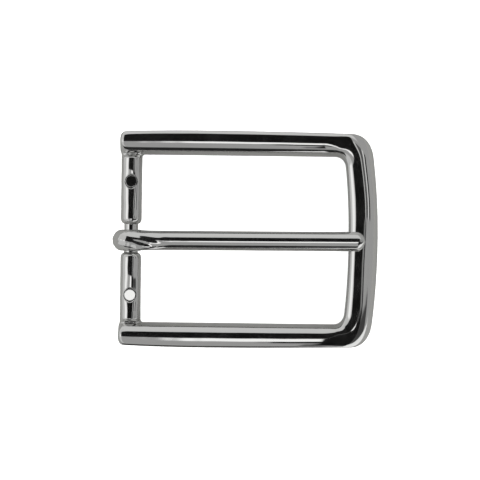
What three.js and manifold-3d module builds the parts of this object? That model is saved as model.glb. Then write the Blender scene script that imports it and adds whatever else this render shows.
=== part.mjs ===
// Pin buckle for a 35 mm dress belt: a cast frame with a round, necked bar, a prong curled
// round the neck, and two screws that fix the strap's folded end to the bar.
// Millimetres. +X runs along the prong to the end bar, +Y across the strap, +Z out of the front.
// The origin lies under the middle of the overall box, on the plane the frame's back lies on.
import * as THREE from 'three';
import { mergeVertices } from 'three/addons/utils/BufferGeometryUtils.js';
import Module from 'manifold-3d';

// Strap opening and frame outline
const strapWidth = 35;
const strapPlay = 1.3; // the opening is this much wider than the strap
const frameLength = 55.9; // arm ends to the middle of the end bar
const armWidth = 5.12;
const armThickness = 5.8;
const crownFallStart = 40; // the arms' crown starts to fall this far from the end bar's edge
const crownFallStop = 6; // and has come down to the end bar's height this far from it
const armTaperFront = 0.33; // the outer edges draw in by this much at the end bar
const armTaperRear = 0.35; // and by this much at the arm ends
const widestFromEnds = 17; // the frame is widest this far from the arm ends
const endBarWidth = 6.5;
const outerBow = 1.8; // how far the end bar's outer edge bows out between its corners
const innerBow = 1.0; // the same for its inner edge, over the opening's width
const outerCornerReach = 4.8;
const outerCornerFullness = 0.57; // 0.55 would be a plain arc, 1 a sharp corner
const innerCornerRadius = 2.3;
const armEndRounding = 2.2; // the arm ends round off over this length
const armEndDrop = 1.6; // and lose this much height at their tips
const armEndNarrowing = [0.12, 0.2]; // and this share of their width, inside and outside

// Section of the frame's rail: flat back, low side walls and a dome
const backEdgeRadius = 0.5;
const armCrown = 0.58; // place of the dome's crown across the rail, from its inner edge
const armInnerDrop = 3.1; // how far the dome falls from its crown to the inner side wall
const armOuterDrop = 0.8; // and to the outer side wall
const endBarCrown = 0.37;
const endBarInnerDrop = 1.3;
const endBarOuterDrop = 3.5;
const crownTurn = [110, 75]; // the crown moves over between these angles round the corner
const dropTurn = [75, 20]; // and the drops change between these, 90 lying along the strap

// Bar between the arms
const barFromEnds = 2.5; // arm ends to the bar's axis
const postDiameter = 4.5;
const neckDiameter = 3.0;
const neckLength = 6.3;
const shoulderLength = 1.1; // the posts round down to the neck over this length
const barFillet = 0.8; // the posts widen over this length where they meet the arms
const barFlare = 0.4; // and by this much towards the opening
// The bar's ends inside the arms: share of the arm's width, of the post's width and height
const barEnds = [[0.25, 1, 0.84], [0.45, 0.8, 0.66]];

// Prong, half-round in section with its flat side to the bar
const prongWidth = 4.2;
const prongThickness = 2.35;
const prongWall = 0.3; // height of the section's upright sides
const loopWidth = 4.6;
const loopClearance = 0.15; // radial, round the neck
const tailThickness = 1.0;
const tailClearance = 0.15; // the loop stays this far above the back plane
const tailEndAngle = 390; // degrees round the bar's axis, from +X through the front
const loopBlend = 4.5; // the loop narrows to the shank over this length
const prongLap = 3.4; // the tip passes the end bar's inner edge by this much
const tipRounding = 2.4;
const tipThickness = 1.3;
const tipFullness = 0.97; // 1 would draw the tip in to a point
const seatGap = 0.05; // between the closed prong and the end bar's crown
const loopSideShift = -0.43; // the loose loop lies off the neck's middle
const prongSkew = 0.0055; // sideways run of the loose prong for each millimetre of length

// Strap screws
const screwSpacing = 24.4;
const screwHoleDiameter = 2.7;
const screwGap = 0.1; // radial, stands for the thread
const screwMouthBevel = 0.25; // the hole's mouth opens out by this much all round
const screwEndDepth = 0.45; // flat screw ends below the posts' crest
const screwEndBevel = 0.1;
const screwHeadOverhang = 0.55; // the head's rim reaches this far past the hole
const screwHeadHeight = 0.75;
const screwHeadEdge = 0.2;
const landDepth = 0.35; // flat ground on the back of each post for the strap and the head
const landLength = 9;
const headGap = 0.02;

// Fineness of the curved faces
const domeSteps = 6;
const edgeSteps = 2;
const barSides = 28;
const screwSides = 24;
const prongSteps = 10;

// Sizes that follow from those above
const neckRadius = neckDiameter / 2;
const postRadius = postDiameter / 2;
const halfOpening = (strapWidth + strapPlay) / 2;
const halfWidth = halfOpening + armWidth;
const pivotY = halfOpening - innerCornerRadius; // middle of the opening's rounded corner
const loopBore = neckRadius + loopClearance;
const loopReach = loopBore + prongThickness;
const barHeight = loopBore + tailThickness + tailClearance; // the bar's axis above the back
const overallLength = frameLength + loopReach - barFromEnds;
const endX = overallLength / 2;
const armEndX = endX - frameLength;
const barX = armEndX + barFromEnds;
const prongUnderside = barHeight + loopBore;
const endBarThickness = prongUnderside - seatGap;
const prongTipX = endX - endBarWidth + prongLap;
const landHeight = barHeight - postRadius + landDepth;

const wasm = await Module();
wasm.setup();

const lerp = THREE.MathUtils.lerp;
const smooth = (value, low, high) => THREE.MathUtils.smoothstep(value, low, high);

// A closed geometry as a solid that can be joined and cut.
function toSolid(geometry) {
  const bare = geometry.clone();
  bare.deleteAttribute('normal');
  bare.deleteAttribute('uv');
  const merged = mergeVertices(bare, 1e-4);
  return new wasm.Manifold(new wasm.Mesh({
    numProp: 3,
    vertProperties: new Float32Array(merged.attributes.position.array),
    triVerts: new Uint32Array(merged.index.array),
  }));
}

// The solid back as a geometry with flat-shaded faces.
function toGeometry(solid) {
  const mesh = solid.getMesh();
  const geometry = new THREE.BufferGeometry();
  geometry.setAttribute('position', new THREE.BufferAttribute(mesh.vertProperties, 3));
  geometry.setIndex(new THREE.BufferAttribute(mesh.triVerts, 1));
  const flat = geometry.toNonIndexed();
  flat.computeVertexNormals();
  return flat;
}

// A closed body through rings of equal length, with a fan over each end. The rings turn
// anticlockwise when seen from the last ring towards the first.
function loft(rings) {
  const count = rings[0].length;
  const points = rings.flat();
  const faces = [];
  for (let ring = 0; ring + 1 < rings.length; ring += 1) {
    for (let side = 0; side < count; side += 1) {
      const a = ring * count + side;
      const b = ring * count + (side + 1) % count;
      faces.push(a, b, b + count, a, b + count, a + count);
    }
  }
  for (const [ring, turn] of [[0, true], [rings.length - 1, false]]) {
    const middle = new THREE.Vector3();
    for (const point of rings[ring]) middle.addScaledVector(point, 1 / count);
    points.push(middle);
    for (let side = 0; side < count; side += 1) {
      const a = ring * count + side;
      const b = ring * count + (side + 1) % count;
      faces.push(points.length - 1, turn ? b : a, turn ? a : b);
    }
  }
  const geometry = new THREE.BufferGeometry().setFromPoints(points);
  geometry.setIndex(faces);
  return geometry;
}

// Outer edge of the frame: the arm's edge at x, and the end bar's edge at y.
function armEdge(x) {
  const widestX = armEndX + widestFromEnds;
  const front = (x - widestX) / (endX - widestX);
  const rear = (widestX - x) / widestFromEnds;
  return halfWidth - (x > widestX ? armTaperFront * front ** 2 : armTaperRear * rear ** 2);
}

function endBarEdge(y) {
  return endX - outerBow * (y / halfWidth) ** 2;
}

function openingEnd(y) {
  return endX - endBarWidth - innerBow * (y / halfOpening) ** 2;
}

const evenly = (from, to, steps) => Array.from(
  { length: steps + 1 },
  (unused, step) => lerp(from, to, step / steps),
);

// Pairs of inner and outer points round the upper half of the frame's rail, from the arm end
// to the middle of the end bar.
function railStations() {
  const pivot = new THREE.Vector2(openingEnd(pivotY) - innerCornerRadius, pivotY);
  const stations = [];
  const endSteps = [0, 0.06, 0.2, 0.45, 0.75, 1].map((share) => armEndX + armEndRounding * share);
  const armSteps = evenly(endSteps.at(-1), pivot.x, 14).slice(1);
  for (const x of [...endSteps, ...armSteps]) {
    stations.push({
      inner: new THREE.Vector2(x, halfOpening),
      outer: new THREE.Vector2(x, armEdge(x)),
    });
  }
  const cornerY = armEdge(endX) - outerCornerReach;
  const cornerX = endBarEdge(cornerY) - outerCornerReach;
  const start = new THREE.Vector2(cornerX, armEdge(cornerX));
  const stop = new THREE.Vector2(endBarEdge(cornerY), cornerY);
  const handle = outerCornerReach * outerCornerFullness;
  const lean = 2 * outerBow * cornerY / halfWidth ** 2;
  const corner = new THREE.CubicBezierCurve(
    start,
    start.clone().add(new THREE.Vector2(handle, 0)),
    stop.clone().add(new THREE.Vector2(-lean * handle, handle)),
    stop,
  );
  const outline = [
    ...evenly(pivot.x, cornerX, 4).slice(1, -1).map((x) => new THREE.Vector2(x, armEdge(x))),
    ...corner.getPoints(10),
    ...evenly(cornerY, pivot.y, 3).slice(1).map((y) => new THREE.Vector2(endBarEdge(y), y)),
  ];
  for (const outer of outline) {
    const inner = outer.clone().sub(pivot).setLength(innerCornerRadius).add(pivot);
    stations.push({ inner, outer });
  }
  for (const y of evenly(pivot.y, 0, 8).slice(1)) {
    stations.push({
      inner: new THREE.Vector2(openingEnd(y), y),
      outer: new THREE.Vector2(endBarEdge(y), y),
    });
  }
  return stations;
}

// The rail's section at one station, as points that run from the back's inner side outwards.
function railRing({ inner, outer }) {
  const pivotX = openingEnd(pivotY) - innerCornerRadius;
  const turn = THREE.MathUtils.radToDeg(Math.atan2(Math.abs(outer.y) - pivotY, outer.x - pivotX));
  const toEndCrown = 1 - smooth(turn, crownTurn[1], crownTurn[0]);
  const toEndDrops = 1 - smooth(turn, dropTurn[1], dropTurn[0]);
  const toEndHeight = smooth(outer.x, endX - crownFallStart, endX - crownFallStop);
  const fromEnd = Math.min(1, (outer.x - armEndX) / armEndRounding);
  const shrink = 1 - Math.sqrt(1 - (1 - fromEnd) ** 2);
  const crown = lerp(armCrown, endBarCrown, toEndCrown);
  const height = lerp(armThickness, endBarThickness, toEndHeight) - armEndDrop * shrink;
  const innerWall = height - lerp(armInnerDrop, endBarInnerDrop, toEndDrops);
  const outerWall = height - lerp(armOuterDrop, endBarOuterDrop, toEndDrops);
  const across = outer.clone().sub(inner);
  const width = across.length();
  const low = armEndNarrowing[0] * shrink;
  const high = 1 - armEndNarrowing[1] * shrink;
  const edge = backEdgeRadius / width;
  const section = [];
  for (const angle of evenly(0, Math.PI / 2, edgeSteps)) {
    section.push([high - edge * (1 - Math.sin(angle)), backEdgeRadius * (1 - Math.cos(angle))]);
  }
  for (const angle of evenly(0, Math.PI / 2, domeSteps)) {
    section.push([
      crown + (high - crown) * Math.cos(angle),
      outerWall + (height - outerWall) * Math.sin(angle),
    ]);
  }
  for (const angle of evenly(Math.PI / 2, 0, domeSteps).slice(1)) {
    section.push([
      crown - (crown - low) * Math.cos(angle),
      innerWall + (height - innerWall) * Math.sin(angle),
    ]);
  }
  for (const angle of evenly(Math.PI / 2, 0, edgeSteps)) {
    section.push([low + edge * (1 - Math.sin(angle)), backEdgeRadius * (1 - Math.cos(angle))]);
  }
  return section.map(([share, z]) => {
    const place = inner.clone().addScaledVector(across, share);
    return new THREE.Vector3(place.x, place.y, z);
  });
}

function railSolid() {
  const upper = railStations();
  const lower = upper.slice(0, -1).reverse().map(({ inner, outer }) => ({
    inner: new THREE.Vector2(inner.x, -inner.y),
    outer: new THREE.Vector2(outer.x, -outer.y),
  }));
  return toSolid(loft([...upper, ...lower].map(railRing)));
}

// Bar from arm to arm: two posts with a neck between them. Each row is a place along the bar
// with the section's half width, half height and forward shift of its middle.
function barSolid() {
  const halfNeck = neckLength / 2;
  const drop = postRadius - neckRadius;
  const rows = [
    [0, neckRadius, neckRadius, 0],
  ];
  for (const turn of evenly(0, Math.PI / 2, 5)) {
    const radius = neckRadius + drop * Math.sin(turn);
    rows.push([halfNeck + shoulderLength * (1 - Math.cos(turn)), radius, radius, 0]);
  }
  const filletStart = halfOpening - barFillet;
  for (const share of evenly(0, 1, 4)) {
    const flare = barFlare * (1 - Math.sqrt(1 - share ** 2));
    rows.push([filletStart + barFillet * share, postRadius + flare / 2, postRadius, flare / 2]);
  }
  for (const [into, wide, high] of barEnds) {
    rows.push([halfOpening + into * armWidth, wide * postRadius, high * postRadius, 0]);
  }
  const mirrored = rows.slice(1).reverse().map(([y, ...rest]) => [-y, ...rest]);
  const rings = [...mirrored, ...rows].map(([y, halfX, halfZ, shift]) => (
    evenly(0, 2 * Math.PI, barSides).slice(0, -1).map((turn) => new THREE.Vector3(
      barX + shift + halfX * Math.sin(turn),
      y,
      barHeight + halfZ * Math.cos(turn),
    ))
  ));
  return toSolid(loft(rings));
}

// Name and place along the bar of each screw.
const screws = [
  ['strap_screw_upper', screwSpacing / 2],
  ['strap_screw_lower', -screwSpacing / 2],
];

// A round piece about an upright axis at a post, from a profile of [radius, height] points.
function turned(profile, y) {
  const points = profile.map(([radius, z]) => new THREE.Vector2(radius, z));
  const geometry = new THREE.LatheGeometry(points, screwSides);
  geometry.rotateX(Math.PI / 2);
  geometry.translate(barX, y, 0);
  return geometry;
}

// Flat land, tapped hole and its countersunk mouth, cut from each post.
function postCuts(y) {
  const postTop = barHeight + postRadius;
  const holeRadius = screwHoleDiameter / 2;
  const mouthLow = postTop - screwEndDepth;
  const land = new THREE.BoxGeometry(postDiameter, landLength, landHeight);
  land.translate(barX, y, landHeight / 2);
  const hole = turned([
    [0, -1],
    [holeRadius, -1],
    [holeRadius, mouthLow],
    [holeRadius + screwMouthBevel, mouthLow + screwMouthBevel],
    [holeRadius + screwMouthBevel, postTop + 1],
    [0, postTop + 1],
  ], y);
  return [toSolid(land), toSolid(hole)];
}

function frame() {
  let solid = railSolid().add(barSolid());
  for (const [, y] of screws) {
    for (const cut of postCuts(y)) solid = solid.subtract(cut);
  }
  return toGeometry(solid);
}

// Screw put in from the back: a low head on the post's land and a flat front end.
function strapScrew(y) {
  const radius = screwHoleDiameter / 2 - screwGap;
  const headRadius = screwHoleDiameter / 2 + screwHeadOverhang;
  const headTop = landHeight - headGap;
  const headLow = headTop - screwHeadHeight;
  const frontEnd = barHeight + postRadius - screwEndDepth;
  return toGeometry(toSolid(turned([
    [0, headLow],
    [headRadius - screwHeadEdge, headLow],
    [headRadius, headLow + screwHeadEdge],
    [headRadius, headTop],
    [radius, headTop],
    [radius, frontEnd - screwEndBevel],
    [radius - screwEndBevel, frontEnd],
    [0, frontEnd],
  ], y)));
}

// One section of the prong: place is where the flat side's middle lies, out points from the
// flat side to the dome's crest, and the width runs along Y.
function prongRing(place, out, width, thickness) {
  const wall = Math.min(prongWall, thickness / 2);
  const half = width / 2;
  const section = [[half, 0]];
  for (const turn of evenly(0, Math.PI, prongSteps)) {
    section.push([half * Math.cos(turn), wall + (thickness - wall) * Math.sin(turn)]);
  }
  section.push([-half, 0]);
  return section.map(([side, rise]) => (
    place.clone().addScaledVector(out, rise).add(new THREE.Vector3(0, side, 0))
  ));
}

function prong() {
  const rings = [];
  for (const degrees of evenly(tailEndAngle, 90, 24).slice(0, -1)) {
    const angle = THREE.MathUtils.degToRad(degrees);
    const out = new THREE.Vector3(Math.cos(angle), 0, Math.sin(angle));
    const place = out.clone().multiplyScalar(loopBore);
    place.add(new THREE.Vector3(barX, loopSideShift, barHeight));
    const thickness = lerp(prongThickness, tailThickness, smooth(degrees, 180, 270));
    rings.push(prongRing(place, out, loopWidth, thickness));
  }
  const up = new THREE.Vector3(0, 0, 1);
  const tipStart = prongTipX - tipRounding;
  const shank = evenly(barX, tipStart, 16);
  const tip = [0.3, 0.55, 0.75, 0.88, 0.96, 1].map((share) => tipStart + tipRounding * share);
  for (const x of [...shank, ...tip]) {
    const along = x - barX;
    const past = Math.max(0, (x - tipStart) / tipRounding);
    const round = Math.sqrt(1 - (tipFullness * past) ** 2);
    const width = lerp(loopWidth, prongWidth, smooth(along, 0, loopBlend)) * round;
    const thickness = lerp(tipThickness, prongThickness, round);
    const place = new THREE.Vector3(x, loopSideShift + prongSkew * along, prongUnderside);
    rings.push(prongRing(place, up, width, thickness));
  }
  return toGeometry(toSolid(loft(rings)));
}

const chrome = (roughness) => new THREE.MeshStandardMaterial({
  color: 0xdadbdc,
  metalness: 1,
  roughness,
});

function piece(name, geometry, material) {
  const mesh = new THREE.Mesh(geometry, material);
  mesh.name = name;
  return mesh;
}

const buckle = new THREE.Group();
buckle.add(piece('frame', frame(), chrome(0.06)));
buckle.add(piece('prong', prong(), chrome(0.07)));
for (const [name, y] of screws) buckle.add(piece(name, strapScrew(y), chrome(0.12)));

export default buckle;
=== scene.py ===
# A plain pin buckle for a 35 mm dress belt, bright plated, lying on its back.
# +X runs along the prong to the end bar, +Y across the strap, +Z out of the front.
# Sizes in the sections are in millimetres, and the meshes are made in metres.
import math

import bmesh
import bpy
import numpy as np
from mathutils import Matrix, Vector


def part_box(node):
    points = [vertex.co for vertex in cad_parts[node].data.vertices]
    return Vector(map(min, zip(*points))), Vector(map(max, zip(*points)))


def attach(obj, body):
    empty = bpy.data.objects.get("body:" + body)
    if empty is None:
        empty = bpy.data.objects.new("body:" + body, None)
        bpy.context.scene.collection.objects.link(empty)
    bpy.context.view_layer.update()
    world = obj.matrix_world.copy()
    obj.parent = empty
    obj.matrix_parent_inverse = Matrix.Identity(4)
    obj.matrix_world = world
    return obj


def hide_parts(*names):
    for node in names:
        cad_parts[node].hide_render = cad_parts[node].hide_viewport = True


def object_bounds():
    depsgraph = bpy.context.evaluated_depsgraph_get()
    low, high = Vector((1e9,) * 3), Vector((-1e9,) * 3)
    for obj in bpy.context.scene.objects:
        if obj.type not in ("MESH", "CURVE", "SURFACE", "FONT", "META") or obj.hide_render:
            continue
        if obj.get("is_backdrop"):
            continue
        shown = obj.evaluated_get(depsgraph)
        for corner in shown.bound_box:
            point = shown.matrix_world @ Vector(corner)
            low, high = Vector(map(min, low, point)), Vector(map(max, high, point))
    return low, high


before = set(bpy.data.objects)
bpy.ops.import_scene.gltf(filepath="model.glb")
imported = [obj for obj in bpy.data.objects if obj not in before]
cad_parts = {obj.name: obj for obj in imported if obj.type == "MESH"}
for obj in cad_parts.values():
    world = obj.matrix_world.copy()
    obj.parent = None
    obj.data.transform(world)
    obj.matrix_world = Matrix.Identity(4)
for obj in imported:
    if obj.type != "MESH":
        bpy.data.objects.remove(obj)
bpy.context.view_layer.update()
MM = 0.001

# Frame -----------------------------------------------------------------------------------
# One zinc casting, buffed and plated bright: a rail of two arms and the end bar, domed in
# front and flat behind, and between the arm ends a round bar with a thinner neck in its
# middle. The two posts of the bar have flat lands behind and a tapped hole each.
frame_low, frame_high = (np.array(corner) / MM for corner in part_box("frame"))
arm_end_x = frame_low[0]
end_x = frame_high[0]
half_width = frame_high[1]
arm_thickness = frame_high[2]

arm_width = 5.12
half_opening = half_width - arm_width
arm_taper_front = 0.33
arm_taper_rear = 0.35
widest_from_ends = 17
end_bar_width = 6.32
end_bar_thickness = 4.4
outer_bow = 1.8
inner_bow = 1.0
outer_corner_reach = 4.8
outer_corner_fullness = 0.57
inner_corner_reach = 2.3
inner_corner_fullness = 0.56
fall_start, fall_steepest, fall_end = end_x - 38, end_x - 7, end_x - 3.5
fall_turn = (0, 60)
crown_turn = (75, 110)
drop_turn = (20, 75)
arm_crown, arm_inner_drop, arm_outer_drop = 0.58, 2.6, 0.7
end_crown, end_inner_drop, end_outer_drop = 0.37, 1.3, 3.5
back_edge_radius = 0.5
arm_end_bulge = 0.35
arm_end_radius = 0.9
arm_end_droop = 0.22
arm_end_droop_length = 2.2
arm_end_droop_at_sides = 7
sway_slope = 0.045
sway_middle_y = 8
sway_per_mm = 0.24
sway_middle_x = end_x - 4.2
sway_start = (end_x - 9, end_x - 5)
rail_ripple = 0.004
rail_ripple_waves = (0.9, 0.5), (0.37, -0.8)

bar_x = arm_end_x + 2.5
bar_height = 2.8
post_radius = 2.25
neck_radius = 1.5
half_neck = 3.15
shoulder_length = 1.1
hole_saddle = 0.22
hole_saddle_reach = 2.6
post_end_dip = 1.2
post_end_length = 0.9
post_dip_inside_arm = 0.2
bar_fillet = (0.8, 0.3)
bar_fillet_heights = (2.9, 3.8)
bar_end_inside_arm = 0.35 * arm_width
bar_end_radius = 0.3
post_ripple = 0.02
post_ripple_waves = (1.3, 0.9), (0, 0.8)
ripple_shift = 1
neck_fillet = 0.12

screw_y = 12.2
screw_hole_radius = 1.35
screw_mouth_bevel = 0.25
screw_end_depth = 0.45
screw_end_height = bar_height + post_radius - screw_end_depth
land_depth = 0.35
land_height = bar_height - post_radius + land_depth
land_half_length = 4.5
land_half_width = post_radius + 0.4
cut_edge_radius = 0.06


def smooth_step(value, low, high):
    share = np.clip((value - low) / (high - low), 0, 1)
    return share * share * (3 - 2 * share)


def mix(first, second, share):
    return first + (second - first) * share


def round_join(first, second, radius):
    """Two distance fields as one body, with a fillet of this radius where they meet."""
    gap = np.hypot(np.maximum(radius - first, 0), np.maximum(radius - second, 0))
    return np.maximum(radius, np.minimum(first, second)) - gap


def round_cut(first, second, radius):
    """What two distance fields have in common, with its edges rounded to this radius."""
    gap = np.hypot(np.maximum(radius + first, 0), np.maximum(radius + second, 0))
    return np.minimum(-radius, np.maximum(first, second)) + gap


def arm_edge(x):
    widest_x = arm_end_x + widest_from_ends
    front = np.maximum(x - widest_x, 0) / (end_x - widest_x)
    rear = np.maximum(widest_x - x, 0) / widest_from_ends
    return half_width - arm_taper_front * front**2 - arm_taper_rear * rear**2


def end_bar_edge(y):
    return end_x - outer_bow * (y / half_width) ** 2


def opening_end(y):
    return end_x - end_bar_width - inner_bow * (y / half_opening) ** 2


def corner_curve(start, stop, reach, fullness, slope):
    """A corner that leaves start along +X and reaches stop along the end bar's slope."""
    handle = reach * fullness
    share = np.linspace(0, 1, 400)[:, None]
    near = start + np.array([handle, 0])
    far = stop + handle * np.array([slope, 1])
    return (
        (1 - share) ** 3 * start
        + 3 * (1 - share) ** 2 * share * near
        + 3 * (1 - share) * share**2 * far
        + share**3 * stop
    )


pivot_y = half_opening - inner_corner_reach
pivot_x = opening_end(pivot_y) - inner_corner_reach


def as_seen_from_pivot(points):
    """Angle and distance from the corner's pivot, with the angle rising."""
    away = points - np.array([pivot_x, pivot_y])
    angle = np.arctan2(away[:, 1], away[:, 0])
    order = np.argsort(angle)
    return angle[order], np.hypot(away[:, 0], away[:, 1])[order]


def corner_outlines():
    """The corner's inner and outer outline, each as angles and distances from its pivot."""
    inner = corner_curve(
        np.array([pivot_x, half_opening]),
        np.array([opening_end(pivot_y), pivot_y]),
        inner_corner_reach,
        inner_corner_fullness,
        -2 * inner_bow * pivot_y / half_opening**2,
    )
    corner_y = arm_edge(end_x) - outer_corner_reach
    corner_x = end_bar_edge(corner_y) - outer_corner_reach
    outer = corner_curve(
        np.array([corner_x, arm_edge(corner_x)]),
        np.array([end_bar_edge(corner_y), corner_y]),
        outer_corner_reach,
        outer_corner_fullness,
        -2 * outer_bow * corner_y / half_width**2,
    )
    before_x = np.linspace(pivot_x, corner_x, 60)[:-1]
    after_y = np.linspace(corner_y, pivot_y, 60)[1:]
    before = np.stack([before_x, arm_edge(before_x)], axis=1)
    after = np.stack([end_bar_edge(after_y), after_y], axis=1)
    return as_seen_from_pivot(inner), as_seen_from_pivot(np.vstack([before, outer, after]))


inner_outline, outer_outline = corner_outlines()


def across_rail(x, y):
    """Place across the rail, 0 at its inner edge and 1 at its outer edge, the rail's width,
    and how far round the corner the place is, in degrees."""
    side = np.abs(y)
    arm_width_here = arm_edge(x) - half_opening
    across = (side - half_opening) / arm_width_here
    width = arm_width_here
    turn = np.arctan2(arm_edge(x) - pivot_y, x - pivot_x)

    end_width_here = end_bar_edge(side) - opening_end(side)
    on_end_bar = (x >= pivot_x) & (side < pivot_y)
    across = np.where(on_end_bar, (x - opening_end(side)) / end_width_here, across)
    width = np.where(on_end_bar, end_width_here, width)
    turn = np.where(on_end_bar, 0, turn)

    angle = np.arctan2(side - pivot_y, x - pivot_x)
    inner = np.interp(angle, *inner_outline)
    outer = np.interp(angle, *outer_outline)
    in_corner = (x >= pivot_x) & (side >= pivot_y)
    away = np.hypot(x - pivot_x, side - pivot_y)
    across = np.where(in_corner, (away - inner) / (outer - inner), across)
    width = np.where(in_corner, outer - inner, width)
    return across, width, np.degrees(np.where(in_corner, angle, turn))


def crossed_waves(x, y, first, second, shift):
    """Two crossing trains of waves, each with its turn in radians per millimetre of x and y."""
    return np.sin(first[0] * x + first[1] * y) * np.sin(second[0] * x + second[1] * y + shift)


def unevenness(x, y):
    """What the buffing left of the casting's own waviness, as a height."""
    sway = np.cos((y - sway_middle_y) * sway_per_mm) * smooth_step(x, *sway_start)
    ripple = crossed_waves(x, y, *rail_ripple_waves, ripple_shift)
    return sway_slope * sway * (x - sway_middle_x) + rail_ripple * ripple


def crown_above_end_bar(x):
    """The arms' crown falls ever faster towards the end bar, and levels off at the corner."""
    total = arm_thickness - end_bar_thickness
    steepest = 2 * total / (fall_end - fall_start)
    before = steepest * np.clip(x - fall_start, 0, None) ** 2 / (2 * (fall_steepest - fall_start))
    left = steepest * np.clip(fall_end - x, 0, None) ** 2 / (2 * (fall_end - fall_steepest))
    return np.where(x < fall_steepest, total - before, left)


def rail_field(x, y, z):
    """The arms and the end bar: two quarter ellipses meeting at the crown, on a flat back."""
    across, width, turn = across_rail(x, y)
    height = end_bar_thickness + crown_above_end_bar(x) * smooth_step(turn, *fall_turn)
    crown = mix(end_crown, arm_crown, smooth_step(turn, *crown_turn))
    from_tip = np.clip((x - arm_end_x) / arm_end_droop_length, 0, 1)
    droop_here = 1 + arm_end_droop_at_sides * (across - arm_crown) ** 2
    height = height + unevenness(x, y) - arm_end_droop * droop_here * (1 - from_tip) ** 2
    to_arm = smooth_step(turn, *drop_turn)
    is_outer = across > crown
    span = width * np.where(is_outer, 1 - crown, crown)
    outer_drop = mix(end_outer_drop, arm_outer_drop, to_arm)
    inner_drop = mix(end_inner_drop, arm_inner_drop, to_arm)
    drop = np.where(is_outer, outer_drop, inner_drop)
    side = np.abs(across - crown) * width / span
    rise = np.maximum(z - (height - drop), 0) / drop
    reach = np.maximum(np.hypot(side, rise), 1e-3)
    slope = np.hypot(side / span, rise / drop) / reach
    dome = (reach - 1) / np.maximum(slope, 0.1)
    rail = round_cut(dome, -z, back_edge_radius)
    tip = arm_end_x + arm_end_bulge * (2 * across - 1) ** 2 - x
    return round_cut(rail, tip, arm_end_radius)


def bar_field(x, y, z):
    """The round bar, its front sinking a little to the holes and to the arms."""
    side = np.abs(y)
    from_hole = np.hypot(x - bar_x, side - screw_y)
    sunk = hole_saddle * np.exp(-((from_hole / hole_saddle_reach) ** 2))
    ripple = post_ripple * crossed_waves(x, y, *post_ripple_waves, ripple_shift)
    ripple = ripple * smooth_step(side, half_neck, half_neck + shoulder_length)
    to_middle = np.hypot(x - bar_x, z - bar_height)
    upward = np.clip((z - bar_height) / np.maximum(to_middle, 1e-3), 0, 1)
    dip_start, dip_end = half_opening - post_end_length, half_opening + post_dip_inside_arm
    end_dip = post_end_dip * smooth_step(side, dip_start, dip_end)
    from_axis = to_middle + ripple + (sunk + end_dip) * upward**2
    step = post_radius - neck_radius
    along = np.maximum(half_neck + shoulder_length - side, 0) / shoulder_length
    out = np.maximum(from_axis - neck_radius, 0) / step
    reach = np.maximum(np.hypot(along, out), 1e-3)
    slope = np.hypot(along / shoulder_length, out / step) / reach
    posts = (reach - 1) / np.maximum(slope, 0.5)
    bar = round_join(posts, from_axis - neck_radius, neck_fillet)
    return round_cut(bar, side - half_opening - bar_end_inside_arm, bar_end_radius)


def post_cuts(x, y, z):
    """The flat land, the tapped hole and its bevelled mouth, as one field."""
    along = np.abs(np.abs(y) - screw_y)
    from_hole = np.hypot(x - bar_x, along)
    land = np.maximum(z - land_height, along - land_half_length)
    land = np.maximum(land, np.abs(x - bar_x) - land_half_width)
    widening = np.clip(z - screw_end_height, 0, screw_mouth_bevel)
    # The share keeps the field's slope near one on the bevel as well as in the hole.
    share = 0.75
    mouth = (from_hole - screw_hole_radius - widening) * share
    return np.minimum(land, mouth)


def frame_field(x, y, z):
    fillet = mix(*bar_fillet, smooth_step(z, *bar_fillet_heights))
    body = round_join(rail_field(x, y, z), bar_field(x, y, z), fillet)
    return round_cut(body, -post_cuts(x, y, z), cut_edge_radius)


def steps_between(stops):
    """Grid positions through (start, stop, step) stretches."""
    parts = [np.arange(start, stop, step) for start, stop, step in stops]
    return np.concatenate([*parts, [stops[-1][1]]])


def field_normals(field, points, step=0.01):
    """Outward normals of a field at points, with the field's own slope as the length."""
    sides = []
    for axis in range(3):
        shift = np.zeros(3)
        shift[axis] = step
        ahead = field(*(points + shift).T)
        behind = field(*(points - shift).T)
        sides.append((ahead - behind) / (2 * step))
    return np.stack(sides, axis=1)


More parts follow.
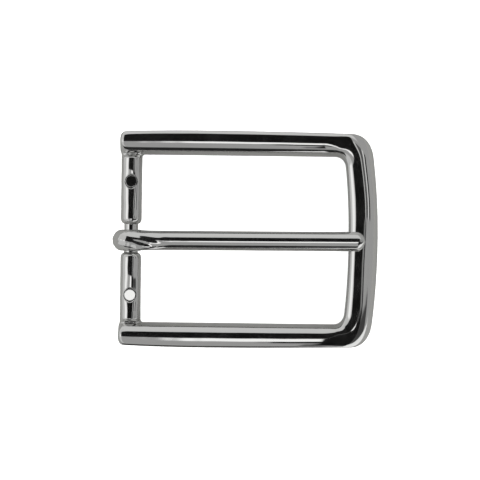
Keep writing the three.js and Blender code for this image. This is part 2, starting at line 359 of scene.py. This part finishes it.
def surface_of(field, xs, ys, zs):
    """Quads over a field's zero surface: a point in each grid cell that the surface
    crosses, moved onto the surface, and a quad round each grid edge that it crosses."""
    grid = field(xs[:, None, None], ys[None, :, None], zs[None, None, :])
    inside = grid < 0
    shape = np.array(grid.shape) - 1
    axes = [xs, ys, zs]
    total = np.zeros((*shape, 3))
    count = np.zeros(shape)
    crossings = []
    for axis in range(3):
        low = [slice(None)] * 3
        high = [slice(None)] * 3
        low[axis] = slice(0, -1)
        high[axis] = slice(1, None)
        before, after = grid[tuple(low)], grid[tuple(high)]
        crossed = inside[tuple(low)] != inside[tuple(high)]
        crossings.append((crossed, inside[tuple(low)]))
        share = np.where(crossed, before / np.where(crossed, before - after, 1), 0)
        places = []
        for other in range(3):
            form = [1, 1, 1]
            form[other] = -1
            if other == axis:
                start = axes[other][:-1].reshape(form)
                places.append(start + share * np.diff(axes[other]).reshape(form))
            else:
                places.append(np.broadcast_to(axes[other].reshape(form), crossed.shape))
        place = np.stack(places, axis=-1) * crossed[..., None]
        first, second = [other for other in range(3) if other != axis]
        for a in (0, 1):
            for b in (0, 1):
                part = [slice(None)] * 3
                part[first] = slice(a, a + shape[first])
                part[second] = slice(b, b + shape[second])
                total += place[tuple(part)]
                count += crossed[tuple(part)]
    cells = count > 0
    index = np.full(shape, -1)
    index[cells] = np.arange(np.count_nonzero(cells))
    points = total[cells] / count[cells][:, None]
    largest_move = 0.1
    for _ in range(5):
        slope = field_normals(field, points)
        away = field(*points.T) / np.maximum((slope**2).sum(axis=1), 0.2)
        points = points - slope * np.clip(away, -largest_move, largest_move)[:, None]
    quads = []
    for axis in range(3):
        crossed, low_inside = crossings[axis]
        first, second = (axis + 1) % 3, (axis + 2) % 3
        inner = [slice(None)] * 3
        inner[first] = slice(1, -1)
        inner[second] = slice(1, -1)
        at = np.argwhere(crossed[tuple(inner)])
        forward = low_inside[tuple(inner)][tuple(at.T)]
        corners = []
        for a, b in ((0, 0), (1, 0), (1, 1), (0, 1)):
            cell = at.copy()
            cell[:, first] += a
            cell[:, second] += b
            corners.append(index[tuple(cell.T)])
        ring = np.stack(corners, axis=1)
        quads.append(np.where(forward[:, None], ring, ring[:, ::-1]))
    return points, np.concatenate(quads)


def mesh_piece(name, points, faces, normals=None):
    """An object from points in millimetres, smooth shaded, with its own normals if given."""
    mesh = bpy.data.meshes.new(name)
    mesh.from_pydata((np.asarray(points) * MM).tolist(), [], [list(face) for face in faces])
    mesh.validate()
    mesh.polygons.foreach_set("use_smooth", [True] * len(mesh.polygons))
    if normals is not None:
        unit = normals / np.linalg.norm(normals, axis=1)[:, None]
        mesh.normals_split_custom_set_from_vertices(unit.tolist())
    piece = bpy.data.objects.new(name, mesh)
    bpy.context.scene.collection.objects.link(piece)
    return piece


def cast_frame():
    """The casting's skin, with smaller facets round the bar, the arm ends and the holes."""
    fine = 0.1
    coarse = 0.22
    margin = 0.4
    fine_past_bar = 2.2
    fine_past_screw = 1.8
    crest_low, crest_high = 4.2, 5.3
    xs = steps_between([
        (arm_end_x - margin, bar_x + fine_past_bar, fine),
        (bar_x + fine_past_bar, end_x + margin, coarse),
    ])
    upper_ys = steps_between([
        (0, screw_y - fine_past_screw, coarse),
        (screw_y - fine_past_screw, screw_y + fine_past_screw, fine),
        (screw_y + fine_past_screw, half_width + margin, coarse),
    ])
    ys = np.concatenate([-upper_ys[:0:-1], upper_ys])
    zs = steps_between([
        (-margin, crest_low, coarse),
        (crest_low, crest_high, fine),
        (crest_high, arm_thickness + 0.3, coarse),
    ])
    points, quads = surface_of(frame_field, xs, ys, zs)
    normals = field_normals(frame_field, points, 0.02)
    return mesh_piece("cast_frame", points, quads, normals)


class Nodes:
    """Adds shader nodes to a tree, and joins their sockets by name."""

    def __init__(self, tree):
        self.tree = tree
        self.column = 0

    def add(self, kind, settings=None, **values):
        node = self.tree.nodes.new(kind)
        node.location = (self.column, 0)
        self.column += 200
        for key, value in (settings or {}).items():
            setattr(node, key, value)
        for key, value in values.items():
            self.put(node.inputs[key.replace("_", " ")], value)
        return node

    def put(self, socket, value):
        if isinstance(value, bpy.types.NodeSocket):
            self.tree.links.new(value, socket)
        else:
            socket.default_value = value

    def math(self, operation, first, second=0.0, clamp=False):
        node = self.tree.nodes.new("ShaderNodeMath")
        node.operation = operation
        node.use_clamp = clamp
        self.put(node.inputs[0], first)
        self.put(node.inputs[1], second)
        return node.outputs[0]


def polish_group():
    """Buffed plating: long soft waves left by the mop, and fine hairlines."""
    group = bpy.data.node_groups.new("buffed plating", "ShaderNodeTree")
    for name, value in (("Wave size", 4.0), ("Hairline size", 0.3)):
        socket = group.interface.new_socket(name, in_out="INPUT", socket_type="NodeSocketFloat")
        socket.default_value = value
    for name in ("Waves", "Hairlines", "Haze"):
        group.interface.new_socket(name, in_out="OUTPUT", socket_type="NodeSocketFloat")
    nodes = Nodes(group)
    inputs = nodes.add("NodeGroupInput")
    place = nodes.add("ShaderNodeTexCoord").outputs["Object"]
    wave_scale = nodes.math("DIVIDE", 1 / MM, inputs.outputs["Wave size"])
    waves = nodes.add("ShaderNodeTexNoise", Vector=place, Scale=wave_scale, Detail=1.0)
    stretched = nodes.add("ShaderNodeMapping", Vector=place)
    stretched.inputs["Scale"].default_value = (0.08, 1.0, 1.0)
    stretched.inputs["Rotation"].default_value = (0.0, 0.0, 0.12)
    line_scale = nodes.math("DIVIDE", 1 / MM, inputs.outputs["Hairline size"])
    lines = nodes.add(
        "ShaderNodeTexNoise",
        Vector=stretched.outputs[0],
        Scale=line_scale,
        Detail=4.0,
        Roughness=0.7,
    )
    haze = nodes.add("ShaderNodeTexNoise", Vector=place, Scale=0.25 / MM, Detail=3.0)
    output = nodes.add("NodeGroupOutput")
    nodes.put(output.inputs["Waves"], waves.outputs[0])
    nodes.put(output.inputs["Hairlines"], lines.outputs[0])
    nodes.put(output.inputs["Haze"], haze.outputs[0])
    return group


buffed = polish_group()


def plating(name, colour, wave_depth, hairline_depth, smoothest, dullest, wave_size=4.0):
    """Bright plated metal. Depths are in millimetres."""
    material = bpy.data.materials.new(name)
    material.use_nodes = True
    tree = material.node_tree
    nodes = Nodes(tree)
    shader = tree.nodes["Principled BSDF"]
    shader.inputs["Base Color"].default_value = (*colour, 1)
    shader.inputs["Metallic"].default_value = 1.0
    polish = nodes.add("ShaderNodeGroup", {"node_tree": buffed})
    polish.inputs["Wave size"].default_value = wave_size
    rough = nodes.add("ShaderNodeMapRange")
    nodes.put(rough.inputs["Value"], polish.outputs["Haze"])
    rough.inputs["From Min"].default_value = 0.35
    rough.inputs["From Max"].default_value = 0.7
    rough.inputs["To Min"].default_value = smoothest
    rough.inputs["To Max"].default_value = dullest
    nodes.put(shader.inputs["Roughness"], rough.outputs["Result"])
    waves = nodes.add("ShaderNodeBump")
    waves.inputs["Strength"].default_value = 1.0
    waves.inputs["Distance"].default_value = wave_depth * MM
    nodes.put(waves.inputs["Height"], polish.outputs["Waves"])
    lines = nodes.add("ShaderNodeBump")
    lines.inputs["Strength"].default_value = 1.0
    lines.inputs["Distance"].default_value = hairline_depth * MM
    nodes.put(lines.inputs["Height"], polish.outputs["Hairlines"])
    nodes.put(lines.inputs["Normal"], waves.outputs["Normal"])
    nodes.put(shader.inputs["Normal"], lines.outputs["Normal"])
    return material


plating_colour = (0.62, 0.62, 0.61)
casting = cast_frame()
casting.data.materials.append(
    plating("frame plating", plating_colour, 0.008, 0.0005, 0.03, 0.07)
)
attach(casting, "frame")
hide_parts("frame")

# Prong -----------------------------------------------------------------------------------
# Half-round steel wire, curled cold round the frame's neck with its flat side inwards. The
# wire is beaten thinner towards its tail, which closes up to the shank behind the bar, and
# the tip is rounded off and lies on the crown of the end bar.
prong_tip_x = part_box("prong")[1][0] / MM
prong_width = 4.2
prong_thickness = 2.35
prong_wall = 0.3
prong_edge_radius = 0.12
loop_width = 4.6
loop_bore = neck_radius + 0.15
loop_blend = 4.5
loop_side_shift = -0.43
prong_skew = 0.0055
tail_thickness = 1.0
tail_thinning_degrees = (180, 270)
tail_end_degrees = 390
tail_rounding_degrees = 9
tail_end_narrowing = 0.5
tail_end_thickness_share = 0.55
tip_rounding = 1.7
tip_thickness = 1.3
beaten_start, beaten_end = (0, 1.5), (3.5, 8.5)
hammer_mark_depth = 0.06
hammer_mark_reach = 2
hammer_mark_waves = (3.1, 1.9), (1.7, -3.3)
hammer_mark_shift = 0.6
hammer_mark_end = (bar_x + 4, bar_x + 9)


def hammer_marks(x, side, turn):
    """Unevenness left on the bend by the curling tool, dying out along the shank."""
    bumps = crossed_waves(x, side, *hammer_mark_waves, hammer_mark_shift)
    return hammer_mark_depth * bumps * (1 - smooth_step(x, *hammer_mark_end)) * math.sin(turn)


def dome_height(share, beaten):
    """Height of the dome at a share of its half width, its lower half beaten flatter."""
    full = math.sqrt(max(0.0, 1 - share**2))
    if share >= 0:
        return full
    return mix(full, max(0.0, 1 - share**6) ** (1 / 6), beaten)


def half_round(width, thickness, beaten, steps=40):
    """The wire's section as (sideways, outwards) points: flat side, edges and dome."""
    half = width / 2
    wall = min(prong_wall, thickness / 2)
    edge = min(prong_edge_radius, 0.4 * half, 0.4 * wall)
    turns = np.linspace(0, math.pi, steps)
    shares = [math.cos(turn) for turn in turns]
    rise = thickness - wall
    dome = [(half * share, wall + rise * dome_height(share, beaten)) for share in shares]
    quarter = np.linspace(0, math.pi / 2, 4)
    left = [(-half + edge * (1 - math.cos(turn)), edge * (1 - math.sin(turn))) for turn in quarter]
    flat = [(share * (half - edge), 0) for share in np.linspace(-0.8, 0.8, 7)]
    right = [(-side, out) for side, out in reversed(left)]
    return dome + left + flat + right


def prong_stations():
    """The wire's run: place, outward direction, width, thickness and how far it is beaten."""
    axis = np.array([bar_x, loop_side_shift, bar_height])
    for degrees in np.linspace(tail_end_degrees, 90, 120)[:-1]:
        angle = math.radians(degrees)
        out = np.array([math.cos(angle), 0, math.sin(angle)])
        thin = smooth_step(degrees, *tail_thinning_degrees)
        full_thickness = mix(prong_thickness, tail_thickness, thin)
        from_end = min(1.0, (tail_end_degrees - degrees) / tail_rounding_degrees)
        round_off = math.sqrt(1 - (1 - from_end) ** 2)
        width = loop_width - tail_end_narrowing * (1 - round_off)
        thickness = full_thickness * mix(tail_end_thickness_share, 1.0, round_off)
        yield axis + out * loop_bore, out, width, thickness, 0
    up = np.array([0, 0, 1])
    tip_start = prong_tip_x - tip_rounding
    shank = np.linspace(bar_x, tip_start, 90)
    tip = tip_start + tip_rounding * np.sin(np.linspace(0, math.pi / 2, 26)[1:])
    for x in [*shank, *tip]:
        along = x - bar_x
        past = max(0.0, (x - tip_start) / tip_rounding)
        round_off = math.sqrt(max(0.0, 1 - (0.995 * past) ** 2))
        width = mix(loop_width, prong_width, smooth_step(along, 0, loop_blend)) * round_off
        thickness = mix(tip_thickness, prong_thickness, round_off)
        place = axis + np.array([along, prong_skew * along, loop_bore])
        beaten = smooth_step(along, *beaten_start) * (1 - smooth_step(along, *beaten_end))
        yield place, up, width, thickness, beaten


def curled_prong():
    """The wire's sections joined into one skin from the tail to the tip."""
    points = []
    faces = []
    rings = 0
    for place, out, width, thickness, beaten in prong_stations():
        section = half_round(width, thickness, beaten)
        for side, rise in section:
            on_dome = math.pi * max(0, 2 * rise / thickness - 1) / 2
            mark = hammer_marks(place[0] + out[0] * hammer_mark_reach, side, on_dome)
            points.append(place + out * (rise + mark) + np.array([0, side, 0]))
        rings += 1
    count = len(section)
    for ring in range(rings - 1):
        for side in range(count):
            a = ring * count + side
            b = ring * count + (side + 1) % count
            faces.append((a, b, b + count, a + count))
    faces.append(tuple(reversed(range(count))))
    faces.append(tuple(range((rings - 1) * count, rings * count)))
    return mesh_piece("curled_prong", points, faces)


prong = curled_prong()
prong.data.materials.append(
    plating("prong plating", plating_colour, 0.016, 0.0006, 0.035, 0.08, wave_size=3.0)
)
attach(prong, "prong")
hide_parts("prong")

# Strap screws ----------------------------------------------------------------------------
# Two small turned steel screws, put in from behind to clamp the strap's folded end. Each has
# a low domed head with a straight slot, and its flat polished end shows in the hole's mouth.
screw_radius = screw_hole_radius - 0.1
head_radius = screw_hole_radius + 0.55
head_top = land_height - 0.02
head_thickness = 0.75
head_low = head_top - head_thickness
head_dome = 0.45
head_edge = 0.06
slot_width = 0.55
slot_depth = 0.35
thread_pitch = 0.45
thread_depth = 0.08
thread_half_width = 0.1
end_rounding = 0.1
end_hold = 0.03
cropped_length = 0.2
broken_edge = 0.03
screw_sides = 72


def screw_profile():
    """Radius and height from the middle of the head to the middle of the front end."""
    profile = []
    for turn in np.linspace(0, math.pi / 2, 10):
        out = head_radius * math.sin(turn) ** 0.6
        profile.append((out, head_low + head_dome * (1 - math.cos(turn))))
    profile.append((head_radius, head_top - head_edge))
    profile.append((head_radius - head_edge, head_top))
    profile.append((screw_radius, head_top))
    height = head_top + thread_pitch
    while height < screw_end_height - thread_pitch:
        profile.append((screw_radius, height - thread_half_width))
        profile.append((screw_radius - thread_depth, height))
        profile.append((screw_radius, height + thread_half_width))
        height += thread_pitch
    profile.append((screw_radius, screw_end_height - end_rounding))
    profile.append((screw_radius - end_hold, screw_end_height - end_hold))
    profile.append((screw_radius - end_rounding, screw_end_height))
    profile.append((screw_radius - end_rounding - end_hold, screw_end_height))
    profile.append((0.5 * screw_radius, screw_end_height))
    profile.append((0.0, screw_end_height))
    return profile


def strap_screw(name, y, slot_turn, end_slope):
    """The screw's front end was cropped a little out of square: end_slope is its fall."""
    built = bmesh.new()
    rows = []
    for radius, height in screw_profile():
        if radius < 1e-6:
            rows.append([built.verts.new((0, 0, height * MM))])
            continue
        reach = radius * MM
        rows.append([
            built.verts.new((reach * math.cos(turn), reach * math.sin(turn), height * MM))
            for turn in np.linspace(0, 2 * math.pi, screw_sides, endpoint=False)
        ])
    for lower, upper in zip(rows, rows[1:]):
        for side in range(screw_sides):
            after = (side + 1) % screw_sides
            corners = [lower[side % len(lower)], lower[after % len(lower)]]
            corners += [upper[after % len(upper)], upper[side % len(upper)]]
            built.faces.new(dict.fromkeys(corners))
    bmesh.ops.recalc_face_normals(built, faces=built.faces)
    for vertex in built.verts:
        if vertex.co.z > (screw_end_height - cropped_length) * MM:
            vertex.co.z -= vertex.co.x * end_slope[0] + vertex.co.y * end_slope[1]
    mesh = bpy.data.meshes.new(name)
    built.to_mesh(mesh)
    built.free()
    screw = bpy.data.objects.new(name, mesh)
    bpy.context.scene.collection.objects.link(screw)
    screw.location = (bar_x * MM, y * MM, 0)

    cutter = bmesh.new()
    bmesh.ops.create_cube(cutter, size=1)
    size = (4 * head_radius * MM, slot_width * MM, 2 * slot_depth * MM)
    bmesh.ops.scale(cutter, vec=size, verts=cutter.verts)
    slot_mesh = bpy.data.meshes.new(name + "_slot")
    cutter.to_mesh(slot_mesh)
    cutter.free()
    slot = bpy.data.objects.new(name + "_slot", slot_mesh)
    bpy.context.scene.collection.objects.link(slot)
    slot.location = (bar_x * MM, y * MM, head_low * MM)
    slot.rotation_euler = (0, 0, slot_turn)
    bpy.context.view_layer.update()
    cut = screw.modifiers.new("slot", "BOOLEAN")
    cut.operation = "DIFFERENCE"
    cut.solver = "EXACT"
    cut.object = slot
    bevel = screw.modifiers.new("broken edges", "BEVEL")
    bevel.width = broken_edge * MM
    bevel.segments = 2
    bevel.limit_method = "ANGLE"
    bevel.angle_limit = math.radians(40)
    graph = bpy.context.evaluated_depsgraph_get()
    finished = bpy.data.meshes.new_from_object(screw.evaluated_get(graph))
    finished.transform(screw.matrix_world)
    screw.modifiers.clear()
    screw.data = finished
    screw.location = (0, 0, 0)
    screw.rotation_euler = (0, 0, 0)
    bpy.data.objects.remove(slot)
    finished.polygons.foreach_set("use_smooth", [True] * len(finished.polygons))
    finished.set_sharp_from_angle(angle=math.radians(35))
    return screw


screw_finish = plating("screw plating", plating_colour, 0.006, 0.0006, 0.03, 0.08)
for side, y, slot_turn, end_slope in (
    ("upper", screw_y, 0.5, (0, -0.04)),
    ("lower", -screw_y, -0.85, (0.04, -0.075)),
):
    screw = strap_screw("screw_" + side, y, slot_turn, end_slope)
    screw.data.materials.append(screw_finish)
    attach(screw, "frame")
    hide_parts("strap_screw_" + side)

# Stage -----------------------------------------------------------------------------------
# A pale floor that the buckle stands just clear of, a camera straight above, and a soft
# studio: light walls and lamps all round, with a dark gap overhead for the camera.
stand_height = -3 * MM
floor_tone = (0.9, 0.9, 0.9, 1)
mirrored_floor_tone = (0.16, 0.16, 0.155, 1)


def pale_floor():
    mesh = bpy.data.meshes.new("floor")
    reach = 1.6
    mesh.from_pydata(
        [(-reach, -reach, stand_height), (reach, -reach, stand_height),
         (reach, reach, stand_height), (-reach, reach, stand_height)],
        [],
        [(0, 1, 2, 3)],
    )
    floor = bpy.data.objects.new("floor", mesh)
    bpy.context.scene.collection.objects.link(floor)
    material = bpy.data.materials.new("pale floor")
    material.use_nodes = True
    tree = material.node_tree
    nodes = Nodes(tree)
    shader = tree.nodes["Principled BSDF"]
    shader.inputs["Roughness"].default_value = 0.9
    shader.inputs["Specular IOR Level"].default_value = 0.1
    path = nodes.add("ShaderNodeLightPath")
    tone = nodes.add("ShaderNodeMix", {"data_type": "RGBA"})
    nodes.put(tone.inputs["Factor"], path.outputs["Is Glossy Ray"])
    tone.inputs[6].default_value = floor_tone
    tone.inputs[7].default_value = mirrored_floor_tone
    nodes.put(shader.inputs["Base Color"], tone.outputs[2])
    mesh.materials.append(material)
    floor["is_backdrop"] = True


pale_floor()

# What the metal mirrors: patches of brightness, each laid over the ones before, between two
# angles from straight up towards +X, two towards +Y, and with edges this soft, in degrees.
room_light = 0.46
surroundings_light = 3.0
studio_patches = [
    # The far wall towards +Y, and the wall towards -X with its lamp.
    (0.82, (-180, 45), (36, 91), 3),
    (0.75, (-90, -24), (-60, 60), 3),
    (1.3, (-58, -34), (-14, 14), 3),
    # Shelves towards +X and +Y: bright and dark edges that show as lines round the corner.
    (0.8, (28, 32), (1, 25), 1),
    (0.12, (32, 44), (1, 25), 1),
    (0.9, (45, 51), (1, 25), 1),
    (0.02, (52, 60), (1, 25), 1),
    # A dark screen towards +X and -Y, and its pale and dark edges.
    (0.07, (30, 62), (-45, -7), 2),
    (0.3, (21, 27), (-7, 0), 1),
    (0.02, (28, 34), (-7, 0), 1),
    # The dark foot of the wall towards -Y, and a lamp beyond it towards +X.
    (0.02, (-60, 24), (-92, -55), 3),
    (1.2, (25, 80), (-85, -38), 3),
    # Dark cloths beside a strip lamp, and the strip lamp.
    (0.008, (11, 30), (-45, -5), 1),
    (0.008, (5.5, 30), (-25, -17), 1),
    (1.4, (-2.5, 11.2), (-17, -5), 1),
    # The dark gap overhead.
    (0.008, (-28, 21), (-5, 2), 1),
    (0.008, (-28, 28), (0, 37), 1),
]


def studio_world():
    """Bright surroundings for the floor, and the banded studio that the metal mirrors."""
    world = bpy.data.worlds.new("studio")
    bpy.context.scene.world = world
    world.use_nodes = True
    tree = world.node_tree
    tree.nodes.clear()
    nodes = Nodes(tree)
    way = nodes.add("ShaderNodeTexCoord").outputs["Generated"]
    parts = nodes.add("ShaderNodeSeparateXYZ", Vector=way)
    x, y, z = parts.outputs

    def lean(side):
        """Degrees from straight up towards one side."""
        turn = nodes.math("ARCTAN2", side, z)
        return nodes.math("MULTIPLY", turn, 180 / math.pi)

    across = lean(x)
    along = lean(y)

    def band(value, low, high, soft):
        """One between two angles and nought outside them, with soft edges."""
        rise = nodes.add("ShaderNodeMapRange", {"interpolation_type": "SMOOTHSTEP"})
        fall = nodes.add("ShaderNodeMapRange", {"interpolation_type": "SMOOTHSTEP"})
        for node, start, stop in ((rise, low - soft, low + soft), (fall, high + soft, high - soft)):
            nodes.put(node.inputs["Value"], value)
            node.inputs["From Min"].default_value = start
            node.inputs["From Max"].default_value = stop
        return nodes.math("MULTIPLY", rise.outputs[0], fall.outputs[0])

    def patch(level, across_range, along_range, soft, under):
        """A patch of this brightness laid over what is under it."""
        mask = nodes.math(
            "MULTIPLY", band(across, *across_range, soft), band(along, *along_range, soft)
        )
        mixer = nodes.add("ShaderNodeMix", {"data_type": "FLOAT"})
        nodes.put(mixer.inputs[0], mask)
        nodes.put(mixer.inputs[2], under)
        mixer.inputs[3].default_value = level
        return mixer.outputs[0]

    light = room_light
    for level, across_range, along_range, soft in studio_patches:
        light = patch(level, across_range, along_range, soft, light)
    mirrored = nodes.add("ShaderNodeBackground", Color=(1, 1, 1, 1), Strength=light)
    plain = nodes.add("ShaderNodeBackground", Color=(1, 1, 1, 1), Strength=surroundings_light)
    path = nodes.add("ShaderNodeLightPath")
    chosen = nodes.add("ShaderNodeMixShader")
    nodes.put(chosen.inputs[0], path.outputs["Is Glossy Ray"])
    nodes.put(chosen.inputs[1], plain.outputs[0])
    nodes.put(chosen.inputs[2], mirrored.outputs[0])
    output = nodes.add("ShaderNodeOutputWorld")
    nodes.put(output.inputs["Surface"], chosen.outputs[0])


studio_world()

camera_lens = 120
camera_height = 348 * MM
camera_roll = math.radians(0.7)
camera_shift = (-1.18 * MM, -0.11 * MM)


def overhead_camera():
    data = bpy.data.cameras.new("camera")
    data.lens = camera_lens
    data.sensor_width = 36
    data.clip_start = 0.01
    data.clip_end = 5
    camera = bpy.data.objects.new("camera", data)
    bpy.context.scene.collection.objects.link(camera)
    low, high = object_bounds()
    centre = (low + high) / 2
    camera.location = (centre.x + camera_shift[0], centre.y + camera_shift[1], camera_height)
    camera.rotation_euler = (0, 0, camera_roll)
    bpy.context.scene.camera = camera


overhead_camera()
bpy.context.scene.view_settings.view_transform = "Standard"
